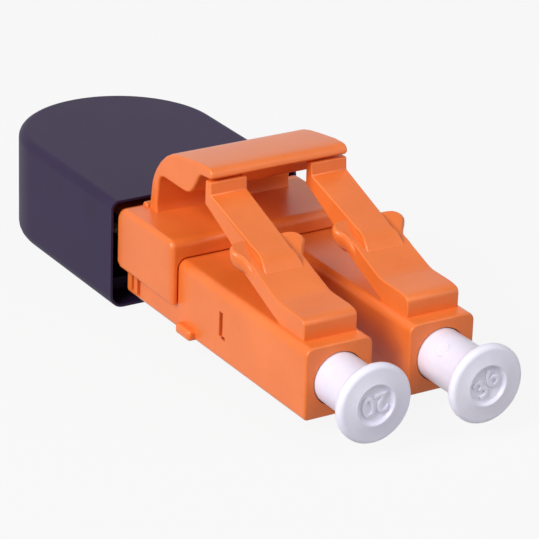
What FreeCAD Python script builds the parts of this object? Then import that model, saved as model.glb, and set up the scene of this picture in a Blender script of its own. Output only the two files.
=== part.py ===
import FreeCAD, Part
import math
import os
import Sketcher

# Fibre loopback adapter: two small plugs in a clip, with a loop of fibre in a round-ended housing.
# Axes: +Z up, the ferrules point along -Y, X runs across.
# Origin: on the underside, below the centre of the housing's round end.

doc = FreeCAD.newDocument("loopback_adapter")

# Driving dimensions in millimetres
DIMENSIONS = {
    # loop housing
    "housing_margin": 0.825,
    "housing_height": 6.4,
    "housing_straight": 9.6,
    "housing_wall": 0.85,
    "housing_edge_radius": 0.5,
    "housing_base_bevel": 0.6,
    # plug bodies
    "plug_pitch": 6.25,
    "plug_width": 4.0,
    "plug_height": 4.0,
    "plug_lift": 1.1,
    "plug_reach": 18.8,
    "plug_back_gap": 0.5,
    "plug_edge_radius": 0.25,
    "plug_nose_bevel": 0.18,
    "nose_bore": 3.0,
    "nose_depth": 3.0,
    "seat_wall": 0.6,
    "seat_hole": 1.7,
    "spring_bore": 3.0,
    "window_front": 8.35,
    "window_length": 1.3,
    "window_height": 1.4,
    "lug_front": 10.9,
    "lug_length": 1.5,
    "lug_height": 0.65,
    "lug_reach": 0.42,
    "lug_edge_bevel": 0.12,
    "slot_set": 0.35,
    "slot_spacing": 0.8,
    "slot_width": 0.22,
    "slot_low": 0.3,
    "slot_height": 0.55,
    "slot_depth": 0.15,
    # latch foot, moulded on the plug
    "foot_front": 0.95,
    "foot_height": 1.15,
    "foot_width": 3.05,
    "foot_length": 2.9,
    "foot_nose_radius": 0.5,
    # latch lever
    "knuckle_radius": 0.55,
    "knuckle_set": 4.0,
    "knuckle_rise": 0.72,
    "hinge_clearance": 0.04,
    "lever_tail_width": 2.25,
    "lever_step_set": 1.35,
    "lever_step_run": 0.6,
    "lever_step_low": 1.11,
    "lever_step_high": 1.73,
    "lever_tail_set": 7.2,
    "lever_crease_rise": 3.43,
    "lever_tail_rise": 4.12,
    "lever_tail_thickness": 0.55,
    "lever_tail_depth": 1.36,
    "lever_knee_set": 4.7,
    "lever_knee_rise": 1.4,
    "lever_belly_set": 4.05,
    "lever_belly_rise": 0.7,
    "shoulder_set": 2.35,
    "shoulder_length": 1.45,
    "shoulder_low": 1.18,
    "shoulder_high": 2.05,
    "shoulder_width": 4.1,
    "shoulder_radius": 0.35,
    # duplex clip
    "clip_length": 6.05,
    "clip_inset": 0.33,
    "clip_rise": 1.1,
    "clip_skirt": 1.45,
    "clip_gap": 0.03,
    "clip_edge_radius": 0.5,
    "clip_heel_radius": 0.9,
    "bead_radius": 0.28,
    "bead_set": 0.85,
    "bead_sink": 0.05,
    "tongue_length": 2.0,
    "tongue_wall": 0.5,
    "tongue_post_gap": 0.2,
    "tongue_gap": 0.06,
    # trigger
    "trigger_width": 8.5,
    "trigger_leg": 0.66,
    "trigger_set": 1.6,
    "trigger_lean": 0.28,
    "trigger_shoulder_drop": 0.92,
    "trigger_crown_reach": 3.3,
    "trigger_crown_drop": 0.29,
    "trigger_lip_overhang": 0.1,
    "trigger_lip_gap": 0.13,
    "trigger_lip_thickness": 0.6,
    "trigger_notch_gap": 0.75,
    "trigger_notch_drop": 0.69,
    "trigger_tooth_run": 1.25,
    "trigger_tooth_drop": 2.17,
    "trigger_bend_radius": 1.6,
    "trigger_arch_radius": 0.4,
    "trigger_tooth_radius": 0.35,
    "trigger_lip_radius": 0.15,
    # ferrule, its flange, spring and guide tube
    "ferrule_diameter": 1.249,
    "ferrule_length": 6.5,
    "ferrule_proud": 1.0,
    "ferrule_chamfer": 0.15,
    "flange_diameter": 2.8,
    "flange_length": 1.6,
    "flange_chamfer": 0.3,
    "flange_tail_diameter": 1.9,
    "flange_tail_length": 1.8,
    "tube_diameter": 1.2,
    "tube_bore": 0.96,
    "tube_grip": 1.0,
    "tube_tail_gap": 1.3,
    "spring_mean_diameter": 2.4,
    "spring_wire": 0.26,
    "spring_turns": 4,
    "spring_seat_gap": 0.02,
    # rear body that backs the spring
    "backstop_front": 8.2,
    "backstop_diameter": 2.92,
    "backstop_bore": 1.4,
    "backstop_collar": 3.6,
    "backstop_collar_length": 0.8,
    "backstop_tail_diameter": 2.6,
    "backstop_tail_length": 1.2,
    "snap_front_gap": 0.13,
    "snap_gap": 0.05,
    # fibre loop
    "fibre_diameter": 0.9,
    "fibre_start": 6.5,
    "fibre_leave_gap": 0.2,
    "fibre_wall_gap": 0.2,
    # dust caps
    "cap_gap": 0.06,
    "cap_bore_gap": 0.035,
    "cap_insert": 2.2,
    "cap_reach": 3.5,
    "cap_disc_diameter": 4.35,
    "cap_disc_thickness": 0.65,
    "cap_disc_bevel": 0.2,
    "cap_recess_diameter": 2.4,
    "cap_recess_depth": 0.2,
    "cap_bore_end": 0.6,
    "right_cap_draw": 0.75,
}


class Size:
    """A length that carries both its number and the sheet expression that gives it."""

    def __init__(self, number, text):
        self.number = number
        self.text = text

    def __add__(self, other):
        return combine(self, other, "+", lambda a, b: a + b)

    def __radd__(self, other):
        return combine(other, self, "+", lambda a, b: a + b)

    def __sub__(self, other):
        return combine(self, other, "-", lambda a, b: a - b)

    def __rsub__(self, other):
        return combine(other, self, "-", lambda a, b: a - b)

    def __mul__(self, other):
        return combine(self, other, "*", lambda a, b: a * b)

    def __rmul__(self, other):
        return combine(other, self, "*", lambda a, b: a * b)

    def __truediv__(self, other):
        return combine(self, other, "/", lambda a, b: a / b)

    def __neg__(self):
        return 0 - self


def as_size(value):
    if isinstance(value, Size):
        return value
    return Size(float(value), repr(float(value)))


def combine(left, right, sign, work):
    left, right = as_size(left), as_size(right)
    return Size(work(left.number, right.number), "(%s %s %s)" % (left.text, sign, right.text))


sheet = doc.addObject("Spreadsheet::Sheet", "dims")
size = {}
for row, (name, number) in enumerate(DIMENSIONS.items(), start=1):
    sheet.set("A%d" % row, name)
    sheet.set("B%d" % row, str(number))
    sheet.setAlias("B%d" % row, name)
    size[name] = Size(float(number), "dims." + name)
doc.recompute()

# Places that several pieces share. Plug pieces are drawn from the plug's nose, on its axis.
nose_y = -(size["housing_straight"] + size["plug_reach"])
axis_z = size["plug_lift"] + size["plug_height"] / 2
half_plug = size["plug_height"] / 2
half_pitch = size["plug_pitch"] / 2
housing_width = size["plug_pitch"] + size["plug_width"] + 2 * size["housing_margin"]
cavity_half = housing_width / 2 - size["housing_wall"]
clip_top = half_plug + size["clip_rise"]
knuckle_z = half_plug + size["knuckle_rise"]
plug_length = size["plug_reach"] - size["plug_back_gap"]
trigger_y = size["plug_reach"] - size["trigger_set"]
lever_tail_y = size["knuckle_set"] + size["lever_tail_set"]
lever_tail_back = lever_tail_y + size["lever_tail_thickness"]
lever_tail_top = knuckle_z + size["lever_tail_rise"]
backstop_end = size["plug_reach"] + size["backstop_tail_length"]
seat_y = size["nose_depth"] + size["seat_wall"]
flange_end = seat_y + size["flange_length"]
SIDES = {"left": -1, "right": 1}
# the right cap stands a little further out of its plug than the left one
CAP_DRAWS = {"left": 0, "right": size["right_cap_draw"]}
# flat faces round the spring's wire, along each of its turns, and round the fibre
SPRING_FACETS = 4
SPRING_FLATS = 18
FIBRE_FACETS = 8


def new_body(label, x, y, z):
    """An empty body at its place in the assembly."""
    body = doc.addObject("PartDesign::Body", label)
    body.Label = label
    for axis, value in (("x", x), ("y", y), ("z", z)):
        body.setExpression("Placement.Base." + axis, as_size(value).text)
    return body


def new_sketch(body, name, role, start):
    """A sketch on one of the body's origin planes, moved along its normal by start."""
    plane = [item for item in body.Origin.OriginFeatures if item.Role == role][0]
    sketch = body.newObject("Sketcher::SketchObject", name)
    sketch.AttachmentSupport = [(plane, "")]
    sketch.MapMode = "FlatFace"
    sketch.setExpression("AttachmentOffset.Base.z", as_size(start).text)
    return sketch


def bind(sketch, kind, geometry, point, value):
    """Ties one coordinate of a sketch point to the sheet."""
    value = as_size(value)
    place = sketch.addConstraint(Sketcher.Constraint(kind, -1, 1, geometry, point, value.number))
    sketch.setExpression("Constraints[%d]" % place, value.text)


def add_loop(sketch, corners):
    """Adds a closed outline of straight lines to a sketch."""
    first = sketch.GeometryCount
    count = len(corners)
    spots = [FreeCAD.Vector(as_size(u).number, as_size(v).number, 0) for u, v in corners]
    for index in range(count):
        sketch.addGeometry(Part.LineSegment(spots[index], spots[(index + 1) % count]), False)
    for index in range(count):
        following = first + (index + 1) % count
        sketch.addConstraint(Sketcher.Constraint("Coincident", first + index, 2, following, 1))
    for index, (u, v) in enumerate(corners):
        bind(sketch, "DistanceX", first + index, 1, u)
        bind(sketch, "DistanceY", first + index, 1, v)


def outline(body, name, role, corners, start=0):
    sketch = new_sketch(body, name, role, start)
    add_loop(sketch, corners)
    return sketch


def rectangle(low_u, low_v, high_u, high_v):
    return [(low_u, low_v), (high_u, low_v), (high_u, high_v), (low_u, high_v)]


def round_outline(body, name, role, spots, radius, start=0):
    """Circles of one radius at the given spots."""
    sketch = new_sketch(body, name, role, start)
    radius = as_size(radius)
    for index, (u, v) in enumerate(spots):
        centre = FreeCAD.Vector(as_size(u).number, as_size(v).number, 0)
        sketch.addGeometry(Part.Circle(centre, FreeCAD.Vector(0, 0, 1), radius.number), False)
        bind(sketch, "DistanceX", index, 3, u)
        bind(sketch, "DistanceY", index, 3, v)
        place = sketch.addConstraint(Sketcher.Constraint("Radius", index, radius.number))
        sketch.setExpression("Constraints[%d]" % place, radius.text)
    return sketch


def pad(body, sketch, length, middle=True, backwards=False):
    feature = body.newObject("PartDesign::Pad", sketch.Name + "_pad")
    feature.Profile = sketch
    feature.setExpression("Length", as_size(length).text)
    feature.Midplane = middle
    feature.Reversed = backwards
    doc.recompute()
    return feature


def pocket(body, sketch, length, middle=True, backwards=False):
    """Cuts a sketch out of the body and makes sure that something was cut."""
    before = body.Shape.Volume
    feature = body.newObject("PartDesign::Pocket", sketch.Name + "_cut")
    feature.Profile = sketch
    feature.setExpression("Length", as_size(length).text)
    feature.Midplane = middle
    feature.Reversed = backwards
    doc.recompute()
    if not body.Shape.Volume < before:
        raise RuntimeError("nothing was cut by " + sketch.Name)
    return feature


def turn(body, sketch, kind="PartDesign::Revolution"):
    """A full turn of a sketch about its own horizontal axis."""
    feature = body.newObject(kind, sketch.Name + "_turn")
    feature.Profile = sketch
    feature.ReferenceAxis = (sketch, ["H_Axis"])
    feature.Angle = 360
    doc.recompute()
    return feature


def is_near(value, target):
    return abs(value - as_size(target).number) < 1e-4


def edges_where(body, direction, test):
    """Names of the body's straight edges along one axis whose ends satisfy a test on their coordinates."""
    names = []
    inverse = body.Placement.inverse()
    for index, edge in enumerate(body.Shape.Edges, start=1):
        ends = [inverse.multVec(vertex.Point) for vertex in edge.Vertexes]
        if len(ends) != 2 or not isinstance(edge.Curve, Part.Line):
            continue
        run = (ends[1] - ends[0]).normalize()
        if abs(getattr(run, direction)) > 0.999 and all(test(end) for end in ends):
            names.append("Edge%d" % index)
    return names


def dress(body, names, kind, setting, value):
    """Rounds or bevels edges of the body."""
    base = body.Tip
    feature = body.newObject(kind, body.Label + "_edges")
    feature.Base = (base, names)
    feature.setExpression(setting, as_size(value).text)
    doc.recompute()
    if not names or "Invalid" in feature.State:
        raise RuntimeError("edges not dressed on " + body.Label + " " + " ".join(names))
    return feature


def fillet(body, names, radius):
    return dress(body, names, "PartDesign::Fillet", "Radius", radius)


def chamfer(body, names, setback):
    return dress(body, names, "PartDesign::Chamfer", "Size", setback)


def build_loop_housing():
    body = new_body("loop_housing", 0, 0, 0)
    half = housing_width / 2
    mouth = -size["housing_straight"]
    height = size["housing_height"]
    wall = size["housing_wall"]
    straight = outline(body, "housing_block", "XY_Plane", rectangle(-half, mouth, half, 0))
    pad(body, straight, height, middle=False)
    end = round_outline(body, "housing_end", "XY_Plane", [(0, 0)], half)
    pad(body, end, height, middle=False)

    def rim(level):
        names = []
        for index, edge in enumerate(body.Shape.Edges, start=1):
            at_level = all(is_near(vertex.Point.z, level) for vertex in edge.Vertexes)
            at_mouth = all(is_near(vertex.Point.y, mouth) for vertex in edge.Vertexes)
            if at_level and not at_mouth:
                names.append("Edge%d" % index)
        return names

    fillet(body, rim(height), size["housing_edge_radius"])
    chamfer(body, rim(0), size["housing_base_bevel"])
    cavity = outline(body, "cavity_block", "XY_Plane", rectangle(-cavity_half, mouth, cavity_half, 0), wall)
    pocket(body, cavity, height - 2 * wall, middle=False, backwards=True)
    cavity_end = round_outline(body, "cavity_end", "XY_Plane", [(0, 0)], cavity_half, wall)
    pocket(body, cavity_end, height - 2 * wall, middle=False, backwards=True)
    return body


def build_plug_housing(side):
    body = new_body("plug_housing_" + side, SIDES[side] * half_pitch, nose_y, axis_z)
    block = outline(body, "plug_block_" + side, "YZ_Plane", rectangle(0, -half_plug, plug_length, half_plug))
    pad(body, block, size["plug_width"])
    half_width = size["plug_width"] / 2
    long_edges = edges_where(body, "y", lambda p: is_near(abs(p.x), half_width))
    fillet(body, long_edges, size["plug_edge_radius"])
    nose_edges = []
    for index, edge in enumerate(body.Shape.Edges, start=1):
        if all(is_near(vertex.Point.y, nose_y) for vertex in edge.Vertexes):
            nose_edges.append("Edge%d" % index)
    chamfer(body, nose_edges, size["plug_nose_bevel"])
    # the latch foot stands on the plug's top
    foot_top = half_plug + size["foot_height"]
    foot_back = size["foot_front"] + size["foot_length"]
    foot = outline(body, "foot_" + side, "YZ_Plane", rectangle(size["foot_front"], 0, foot_back, foot_top))
    pad(body, foot, size["foot_width"])
    nose = edges_where(body, "x", lambda p: is_near(p.y, size["foot_front"]) and is_near(p.z, foot_top))
    fillet(body, nose, size["foot_nose_radius"])
    seat = round_outline(body, "foot_seat_" + side, "YZ_Plane", [(size["knuckle_set"], knuckle_z)],
                         size["knuckle_radius"] + size["hinge_clearance"])
    pocket(body, seat, size["plug_width"])
    # a lug on each flank, low down ahead of the clip
    lug_back = size["lug_front"] + size["lug_length"]
    lug_top = size["lug_height"] - half_plug
    lug = outline(body, "flank_lug_" + side, "YZ_Plane",
                  rectangle(size["lug_front"], -half_plug, lug_back, lug_top))
    lug_width = size["plug_width"] + 2 * size["lug_reach"]
    pad(body, lug, lug_width)
    lug_edges = edges_where(body, "y", lambda p: is_near(abs(p.x), lug_width / 2))
    lug_edges += edges_where(body, "z", lambda p: is_near(abs(p.x), lug_width / 2))
    chamfer(body, lug_edges, size["lug_edge_bevel"])
    # stepped bore: nose, retaining wall and spring chamber
    nose_r, hole_r, chamber_r = size["nose_bore"] / 2, size["seat_hole"] / 2, size["spring_bore"] / 2
    beyond = plug_length + half_plug
    bore = outline(body, "plug_bore_" + side, "YZ_Plane", [
        (-half_plug, 0), (-half_plug, nose_r), (size["nose_depth"], nose_r), (size["nose_depth"], hole_r),
        (seat_y, hole_r), (seat_y, chamber_r), (beyond, chamber_r), (beyond, 0)])
    turn(body, bore, "PartDesign::Groove")
    # windows for the rear body's snap lugs
    window_back = size["window_front"] + size["window_length"]
    half_window = size["window_height"] / 2
    window = outline(body, "snap_window_" + side, "YZ_Plane",
                     rectangle(size["window_front"], -half_window, window_back, half_window))
    pocket(body, window, 2 * size["plug_width"])
    # two short upright slots low on each flank, near the back end
    slot_low = size["slot_low"] - half_plug
    for name, sign in SIDES.items():
        slots = new_sketch(body, "flank_slots_%s_%s" % (side, name), "YZ_Plane", sign * half_width)
        for step in (0, 1):
            slot_back = plug_length - size["slot_set"] - step * size["slot_spacing"]
            add_loop(slots, rectangle(slot_back - size["slot_width"], slot_low, slot_back,
                                      slot_low + size["slot_height"]))
        pocket(body, slots, 2 * size["slot_depth"])
    return body


def build_latch_lever(side):
    body = new_body("latch_lever_" + side, SIDES[side] * half_pitch, nose_y, axis_z)
    hinge_y = size["knuckle_set"]
    radius = size["knuckle_radius"]
    # the two tangents by which the lever leaves its round root
    top_run = size["lever_step_set"]
    top_slope = math.atan2((size["lever_step_low"] - radius).number, top_run.number)
    belly_slope = math.atan2((size["lever_belly_rise"] + radius).number, size["lever_belly_set"].number)
    step_y = hinge_y + top_run
    corners = [
        (hinge_y - radius * math.sin(top_slope), knuckle_z + radius * math.cos(top_slope)),
        (step_y, knuckle_z + size["lever_step_low"]),
        (step_y + size["lever_step_run"], knuckle_z + size["lever_step_high"]),
        (lever_tail_y, knuckle_z + size["lever_crease_rise"]),
        (lever_tail_y, lever_tail_top),
        (lever_tail_back, lever_tail_top),
        (lever_tail_back, lever_tail_top - size["lever_tail_depth"]),
        (hinge_y + size["lever_knee_set"], knuckle_z + size["lever_knee_rise"]),
        (hinge_y + size["lever_belly_set"], knuckle_z + size["lever_belly_rise"]),
        (hinge_y + radius * math.sin(belly_slope), knuckle_z - radius * math.cos(belly_slope)),
    ]
    blade = outline(body, "lever_blade_" + side, "YZ_Plane", corners)
    pad(body, blade, size["foot_width"])
    root = round_outline(body, "lever_root_" + side, "YZ_Plane", [(hinge_y, knuckle_z)], radius)
    pad(body, root, size["foot_width"])
    # the blade narrows from its root to its tail
    root_half, tail_half = size["foot_width"] / 2, size["lever_tail_width"] / 2
    taper = new_sketch(body, "lever_taper_" + side, "XY_Plane", 0)
    for sign in (-1, 1):
        add_loop(taper, [(sign * root_half, hinge_y), (sign * tail_half, lever_tail_back),
                         (sign * root_half, lever_tail_back)])
    pocket(body, taper, 2 * lever_tail_top + radius)
    # shoulders that lock behind the socket's latch window
    low, high = knuckle_z + size["shoulder_low"], knuckle_z + size["shoulder_high"]
    front = hinge_y + size["shoulder_set"]
    shoulder = outline(body, "lever_shoulder_" + side, "YZ_Plane",
                       rectangle(front, low, front + size["shoulder_length"], high))
    pad(body, shoulder, size["shoulder_width"])
    upright = edges_where(body, "z", lambda p: is_near(abs(p.x), size["shoulder_width"] / 2))
    fillet(body, upright, size["shoulder_radius"])
    return body


def build_duplex_clip():
    body = new_body("duplex_clip", 0, nose_y, axis_z)
    back = size["plug_reach"]
    front = back - size["clip_length"]
    bottom = size["clip_skirt"] - half_plug
    width = housing_width - 2 * size["clip_inset"]
    block = outline(body, "clip_block", "YZ_Plane", rectangle(front, bottom, back, clip_top))
    pad(body, block, width)
    heel = edges_where(body, "x", lambda p: is_near(p.y, back) and is_near(p.z, clip_top))
    fillet(body, heel, size["clip_heel_radius"])
    brow = edges_where(body, "x", lambda p: is_near(p.y, front) and is_near(p.z, clip_top))
    flanks = edges_where(body, "y", lambda p: is_near(p.z, clip_top))
    cheeks = edges_where(body, "z", lambda p: is_near(p.y, front))
    fillet(body, brow + flanks + cheeks, size["clip_edge_radius"])
    # one channel for each plug, open at the bottom and in front
    gap = size["clip_gap"]
    channel_end = plug_length + gap
    for side, sign in SIDES.items():
        section = rectangle(front - gap, bottom - gap, channel_end, half_plug + gap)
        channel = outline(body, "clip_channel_" + side, "YZ_Plane", section, sign * half_pitch)
        pocket(body, channel, size["plug_width"] + 2 * gap)
    # holes in the back wall for the rear bodies
    holes = round_outline(body, "clip_holes", "XZ_Plane", [(-half_pitch, 0), (half_pitch, 0)],
                          size["backstop_collar"] / 2 + gap)
    pocket(body, holes, 2 * (back + gap))
    # tongue that enters the housing's mouth: a flat plate above a post between the rear bodies
    plate_x = cavity_half - size["tongue_gap"]
    low = size["housing_wall"] + size["tongue_gap"] - axis_z
    high = size["housing_height"] - size["housing_wall"] - size["tongue_gap"] - axis_z
    shelf = high - size["tongue_wall"]
    post_x = half_pitch - size["backstop_collar"] / 2 - size["tongue_post_gap"]
    tongue = outline(body, "clip_tongue", "XZ_Plane", [
        (-plate_x, high), (-plate_x, shelf), (-post_x, shelf), (-post_x, low), (post_x, low), (post_x, shelf),
        (plate_x, shelf), (plate_x, high)], -back)
    pad(body, tongue, size["tongue_length"], middle=False, backwards=True)
    # bead behind the trigger's leg
    bead = round_outline(body, "clip_bead", "YZ_Plane",
                         [(back - size["bead_set"], clip_top - size["bead_sink"])], size["bead_radius"])
    pad(body, bead, size["trigger_width"])
    # round groove that the trigger's foot turns in
    groove = round_outline(body, "trigger_groove", "YZ_Plane", [(trigger_y, clip_top)],
                           size["trigger_leg"] / 2 + size["hinge_clearance"])
    pocket(body, groove, size["trigger_width"] + 2 * gap)
    return body


def build_trigger():
    body = new_body("trigger", 0, nose_y, axis_z)
    half_leg = size["trigger_leg"] / 2
    lean = size["trigger_lean"]
    lip_y = lever_tail_y - size["trigger_lip_overhang"]
    lip_z = lever_tail_top + size["trigger_lip_gap"] + size["trigger_lip_thickness"]
    notch_y = lever_tail_back + size["trigger_notch_gap"]
    tooth_z = lip_z - size["trigger_tooth_drop"]
    bend = (trigger_y + half_leg - lean, lip_z - size["trigger_shoulder_drop"])
    crown = (trigger_y - size["trigger_crown_reach"], lip_z - size["trigger_crown_drop"])
    notch = (notch_y, lip_z - size["trigger_notch_drop"])
    tooth = (notch_y + size["trigger_tooth_run"], tooth_z)
    arch = (trigger_y - half_leg - lean, tooth_z)
    lip_top = (lip_y, lip_z)
    lip_bottom = (lip_y, lip_z - size["trigger_lip_thickness"])
    profile = outline(body, "trigger_profile", "YZ_Plane", [
        (trigger_y + half_leg, clip_top), bend, crown, lip_top, lip_bottom, notch, tooth, arch,
        (trigger_y - half_leg, clip_top)])
    pad(body, profile, size["trigger_width"])
    foot = round_outline(body, "trigger_foot", "YZ_Plane", [(trigger_y, clip_top)], half_leg)
    pad(body, foot, size["trigger_width"])

    def corner(spot):
        return edges_where(body, "x", lambda p: is_near(p.y, spot[0]) and is_near(p.z, spot[1]))

    fillet(body, corner(bend), size["trigger_bend_radius"])
    fillet(body, corner(arch), size["trigger_arch_radius"])
    fillet(body, corner(tooth) + corner(notch), size["trigger_tooth_radius"])
    fillet(body, corner(lip_top) + corner(lip_bottom), size["trigger_lip_radius"])
    return body


def turned_piece(label, side, corners, draw=0):
    """A round piece on a plug's axis, from its half section (distance along the plug, radius)."""
    body = new_body(label + "_" + side, SIDES[side] * half_pitch, nose_y - draw, axis_z)
    section = outline(body, label + "_section_" + side, "YZ_Plane", corners)
    turn(body, section)
    return body


def build_ferrule(side):
    tip = -size["ferrule_proud"]
    end = tip + size["ferrule_length"]
    radius = size["ferrule_diameter"] / 2
    bevel = size["ferrule_chamfer"]
    return turned_piece("ferrule", side, [
        (tip, 0), (tip, radius - bevel), (tip + bevel, radius), (end, radius), (end, 0)])


def build_ferrule_flange(side):
    ferrule_end = size["ferrule_length"] - size["ferrule_proud"]
    end = flange_end + size["flange_tail_length"]
    bore, tube = size["ferrule_diameter"] / 2, size["tube_diameter"] / 2
    outer, tail, bevel = size["flange_diameter"] / 2, size["flange_tail_diameter"] / 2, size["flange_chamfer"]
    return turned_piece("ferrule_flange", side, [
        (seat_y, bore), (seat_y, outer - bevel), (seat_y + bevel, outer), (flange_end, outer),
        (flange_end, tail), (end, tail), (end, tube), (ferrule_end, tube), (ferrule_end, bore)])


def build_guide_tube(side):
    start = flange_end + size["flange_tail_length"] - size["tube_grip"]
    end = backstop_end - size["tube_tail_gap"]
    outer, bore = size["tube_diameter"] / 2, size["tube_bore"] / 2
    return turned_piece("guide_tube", side, rectangle(start, bore, end, outer))


def build_rear_body(side):
    start = size["backstop_front"]
    end = backstop_end
    collar = plug_length + size["clip_gap"]
    collar_end = collar + size["backstop_collar_length"]
    bore, barrel = size["backstop_bore"] / 2, size["backstop_diameter"] / 2
    flange, tail = size["backstop_collar"] / 2, size["backstop_tail_diameter"] / 2
    body = turned_piece("rear_body", side, [
        (start, bore), (start, barrel), (collar, barrel), (collar, flange), (collar_end, flange),
        (collar_end, tail), (end, tail), (end, bore)])
    # snap lugs that fill the plug's windows flush with its flanks
    lug_front = size["window_front"] + size["snap_front_gap"]
    lug_back = size["window_front"] + size["window_length"] - size["snap_gap"]
    half_lug = size["window_height"] / 2 - size["snap_gap"]
    reach = size["plug_width"] / 2
    for name, sign in SIDES.items():
        start_x = sign * (reach + bore) / 2
        lug = outline(body, "snap_lug_%s_%s" % (side, name), "YZ_Plane",
                      rectangle(lug_front, -half_lug, lug_back, half_lug), start_x)
        pad(body, lug, reach - bore - size["snap_gap"])
    return body


def build_spring(side):
    """A coil spring between the flange and the rear body."""
    half_wire = size["spring_wire"].number / 2
    radius = size["spring_mean_diameter"].number / 2
    start = (flange_end + size["spring_seat_gap"]).number + half_wire
    length = (size["backstop_front"] - size["spring_seat_gap"]).number - half_wire - start
    count = int(size["spring_turns"].number * SPRING_FLATS)
    flat_angle = 2 * math.pi / SPRING_FLATS

    def spot(step, distance):
        angle = flat_angle * step
        onward = start + length * step / count
        return FreeCAD.Vector(distance * math.cos(angle), onward, distance * math.sin(angle))

    path = Part.makePolygon([spot(step, radius) for step in range(count + 1)])
    along = FreeCAD.Vector(0, half_wire, 0)
    inner, middle, outer = spot(0, radius - half_wire), spot(0, radius), spot(0, radius + half_wire)
    ring = Part.makePolygon([inner, middle + along, outer, middle - along, inner])
    shape = path.makePipeShell([ring], True, False, 1)
    spring = doc.addObject("Part::Feature", "spring_" + side)
    spring.Label = "spring_" + side
    spring.Shape = shape
    place = FreeCAD.Vector(SIDES[side] * half_pitch.number, nose_y.number, axis_z.number)
    spring.Placement = FreeCAD.Placement(place, FreeCAD.Rotation())
    section = SPRING_FACETS / 2 * half_wire ** 2
    expected = section * path.Length
    print("spring wire %.2f mm, volume ratio %.4f" % (path.Length, shape.Volume / expected))
    return spring


def build_fibre_loop():
    """Buffered fibre from one ferrule round to the other: straight runs joined by tangent arcs."""
    radius = size["fibre_diameter"].number / 2
    loop = (cavity_half - size["fibre_wall_gap"] - size["fibre_diameter"] / 2).number
    near = half_pitch.number
    start_y = (nose_y + size["fibre_start"]).number
    leave_y = (nose_y + backstop_end + size["fibre_leave_gap"]).number
    # an outward swerve of two equal arcs takes each arm from the plug's axis to the loop
    swerve = 2 * math.atan2(loop - near, -leave_y)
    swerve_radius = -leave_y / (2 * math.sin(swerve))

    def spot(x, y):
        return FreeCAD.Vector(x, y, 0)

    def arm(sign):
        first = spot(sign * near, start_y)
        leave = spot(sign * near, leave_y)
        half_turn = swerve / 2
        outward = swerve_radius * (1 - math.cos(half_turn))
        onward = swerve_radius * math.sin(half_turn)
        early = spot(sign * (near + outward), leave_y + onward)
        middle = spot(sign * (near + loop) / 2, leave_y / 2)
        late = spot(sign * (loop - outward), -onward)
        side = spot(sign * loop, 0)
        return [Part.LineSegment(first, leave), Part.Arc(leave, early, middle), Part.Arc(middle, late, side)]

    turnround = Part.Arc(spot(-loop, 0), spot(0, loop), spot(loop, 0))
    curves = arm(-1) + [turnround] + arm(1)[::-1]
    path = Part.Wire(Part.__sortEdges__([curve.toShape() for curve in curves]))
    turns = [2 * math.pi * step / FIBRE_FACETS for step in range(FIBRE_FACETS + 1)]
    ring = [spot(-near + radius * math.cos(turn), start_y) + FreeCAD.Vector(0, 0, radius * math.sin(turn))
            for turn in turns]
    shape = path.makePipeShell([Part.makePolygon(ring)], True, False)
    fibre = doc.addObject("Part::Feature", "fibre_loop")
    fibre.Label = "fibre_loop"
    fibre.Shape = shape
    fibre.Placement = FreeCAD.Placement(FreeCAD.Vector(0, 0, axis_z.number), FreeCAD.Rotation())
    section = FIBRE_FACETS / 2 * radius ** 2 * math.sin(2 * math.pi / FIBRE_FACETS)
    expected = section * path.Length
    print("fibre length %.2f mm, loop radius %.2f mm, swerve radius %.2f mm, volume ratio %.4f"
          % (path.Length, loop, swerve_radius, shape.Volume / expected))
    return fibre


def build_dust_cap(side):
    stem = size["nose_bore"] / 2 - size["cap_gap"]
    bore = size["ferrule_diameter"] / 2 + size["cap_bore_gap"]
    disc, recess = size["cap_disc_diameter"] / 2, size["cap_recess_diameter"] / 2
    face = -size["cap_reach"]
    disc_back = face + size["cap_disc_thickness"]
    floor = face + size["cap_recess_depth"]
    bore_end = -size["ferrule_proud"] - size["cap_bore_end"]
    bevel = size["cap_disc_bevel"]
    return turned_piece("dust_cap", side, [
        (floor, 0), (floor, recess), (face, recess), (face, disc - bevel), (face + bevel, disc),
        (disc_back - bevel, disc), (disc_back, disc - bevel), (disc_back, stem),
        (size["cap_insert"], stem), (size["cap_insert"], bore), (bore_end, bore), (bore_end, 0)],
        CAP_DRAWS[side])


pieces = [build_loop_housing(), build_duplex_clip(), build_trigger(), build_fibre_loop()]
for side in SIDES:
    pieces += [build_plug_housing(side), build_latch_lever(side), build_rear_body(side), build_ferrule(side),
               build_ferrule_flange(side), build_guide_tube(side), build_spring(side), build_dust_cap(side)]
doc.recompute()

# Every object has to be sound before anything is written
for item in doc.Objects:
    if "Invalid" in item.State or "Error" in item.State:
        raise RuntimeError("failed: " + item.Name)
for piece in pieces:
    if piece.Shape.isNull() or not piece.Shape.isValid() or len(piece.Shape.Solids) != 1:
        raise RuntimeError("no single sound solid: " + piece.Label)

os.makedirs("parts", exist_ok=True)
for piece in pieces:
    piece.Shape.exportStep("parts/%s.step" % piece.Label)
    print("%s %.3f mm3" % (piece.Label, piece.Shape.Volume))
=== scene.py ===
import math

import bmesh
import bpy
from mathutils import Matrix, Vector


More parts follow.
